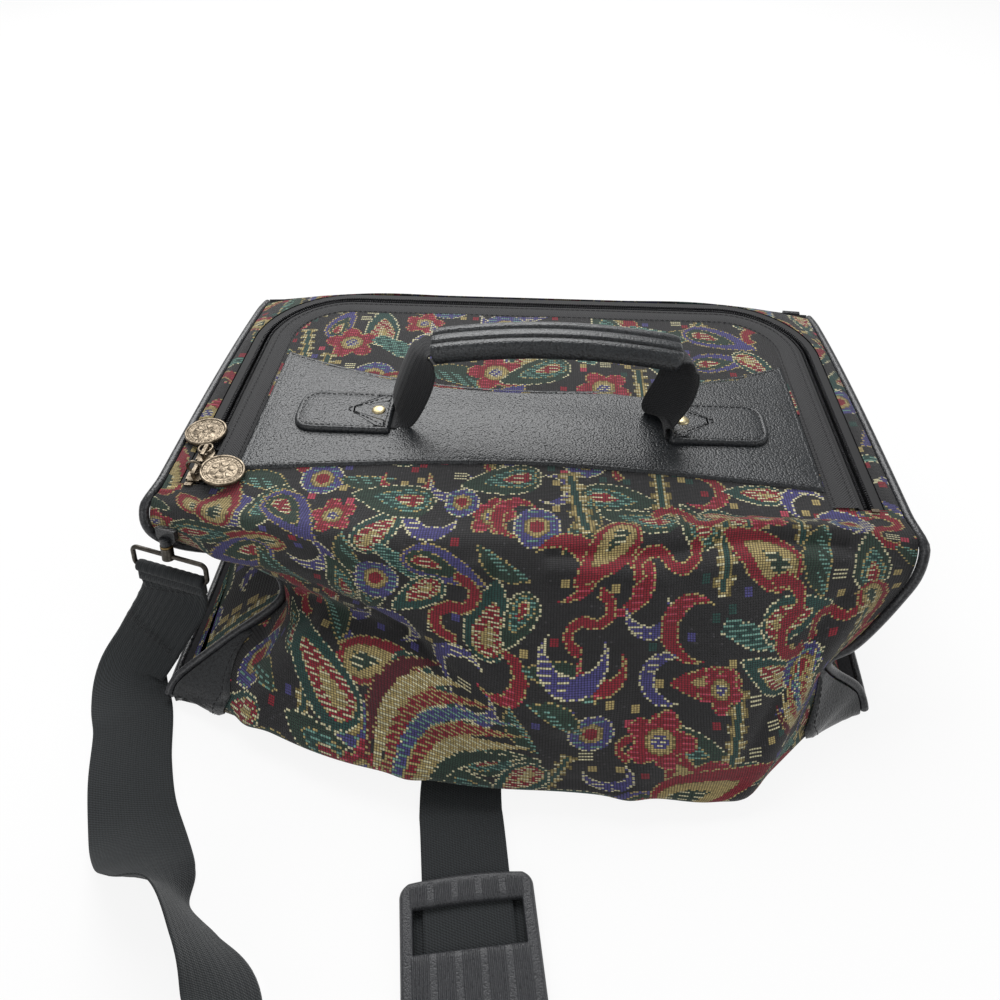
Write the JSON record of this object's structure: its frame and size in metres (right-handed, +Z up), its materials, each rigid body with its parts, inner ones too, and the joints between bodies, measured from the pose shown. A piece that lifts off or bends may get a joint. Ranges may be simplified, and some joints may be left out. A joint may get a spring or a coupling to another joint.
{
  "type": "carpet bag",
  "caption": "Soft tapestry travel bag, empty and slumped, with a zipped lid, a padded carry handle, piped folding end panels and a shoulder strap with a pad.",
  "frame": {"origin": "on the ground, under the middle of the bag without its strap", "axes": "+X along the bag's length, to the right seen from its front; +Y to the back; +Z up"},
  "size_m": [0.4156, 0.6986, 0.1463],
  "materials": {
    "tapestry": "woven tapestry",
    "vinyl": "satin, grained",
    "twill": "twill weave",
    "webbing": "ribbed webbing",
    "nickel": "warm satin",
    "pale_brass": "satin",
    "antique_brass": "aged",
    "dark_steel": "satin",
    "pad_rubber": "satin, ribbed"
  },
  "bodies": {
    "bag": {"main_panel": "tapestry", "end_panel_left": "tapestry", "end_panel_right": "tapestry", "top_gusset": "tapestry", "piping_left": "vinyl", "piping_right": "vinyl", "corner_patch_front_left": "vinyl", "corner_patch_front_right": "vinyl", "corner_patch_rear_left": "vinyl", "corner_patch_rear_right": "vinyl", "zip_tape_body": "twill", "zip_coil_body": "twill", "zip_end_stop": "nickel", "strap_tab_left": "vinyl", "strap_tab_right": "vinyl", "strap_stud_left": "antique_brass", "strap_stud_right": "antique_brass", "strap_webbing": "webbing"},
    "lid": {"lid_panel": "tapestry", "lid_band": "vinyl", "lid_binding": "twill", "zip_tape_lid": "twill", "zip_coil_lid": "twill", "handle_tab_left": "vinyl", "handle_tab_right": "vinyl", "handle_rivet_left": "pale_brass", "handle_rivet_right": "pale_brass", "handle_webbing": "webbing", "handle_grip": "vinyl"},
    "slider_front": {"zip_slider_front": "nickel"},
    "slider_rear": {"zip_slider_rear": "nickel"},
    "pull_front": {"zip_pull_front": "nickel"},
    "pull_rear": {"zip_pull_rear": "nickel"},
    "loop_left": {"strap_loop_left": "dark_steel", "strap_end_left": "webbing"},
    "loop_right": {"strap_loop_right": "dark_steel", "strap_end_right": "webbing"},
    "pad": {"shoulder_pad": "pad_rubber"}
  },
  "joints": [
    {"name": "lid_hinge", "type": "hinge", "parent": "bag", "child": "lid", "pos_m": [0, -0.058, 0.088], "axis": [1, 0, 0], "range_deg": [0, 100]},
    {"name": "front_slider_slide", "type": "slide", "parent": "lid", "child": "slider_front", "axis": [0, 1, 0], "range_m": [0, 0.003]},
    {"name": "rear_slider_slide", "type": "slide", "parent": "bag", "child": "slider_rear", "axis": [0, 1, 0], "range_m": [0, 0.09]},
    {"name": "front_pull_hinge", "type": "hinge", "parent": "slider_front", "child": "pull_front", "pos_m": [-0.166, -0.0457, 0.09395], "axis": [0, -1, 0], "range_deg": [0, 100]},
    {"name": "rear_pull_hinge", "type": "hinge", "parent": "slider_rear", "child": "pull_rear", "pos_m": [-0.166, -0.0312, 0.09065], "axis": [0.9511, 0.309, 0], "range_deg": [0, 95]},
    {"name": "left_loop_swivel", "type": "hinge", "parent": "bag", "child": "loop_left", "pos_m": [-0.1756, -0.0799, 0.065], "axis": [0.067, 0.25, 0.9659], "range_deg": [-20, 20]},
    {"name": "right_loop_swivel", "type": "hinge", "parent": "bag", "child": "loop_right", "pos_m": [0.172, 0.1424, 0.066], "axis": [0, 0, 1], "range_deg": [-20, 20]},
    {"name": "pad_slide", "type": "slide", "parent": "bag", "child": "pad", "axis": [-0.1621, 0.9868, 0], "range_m": [-0.006, 0.006]}
  ]
}
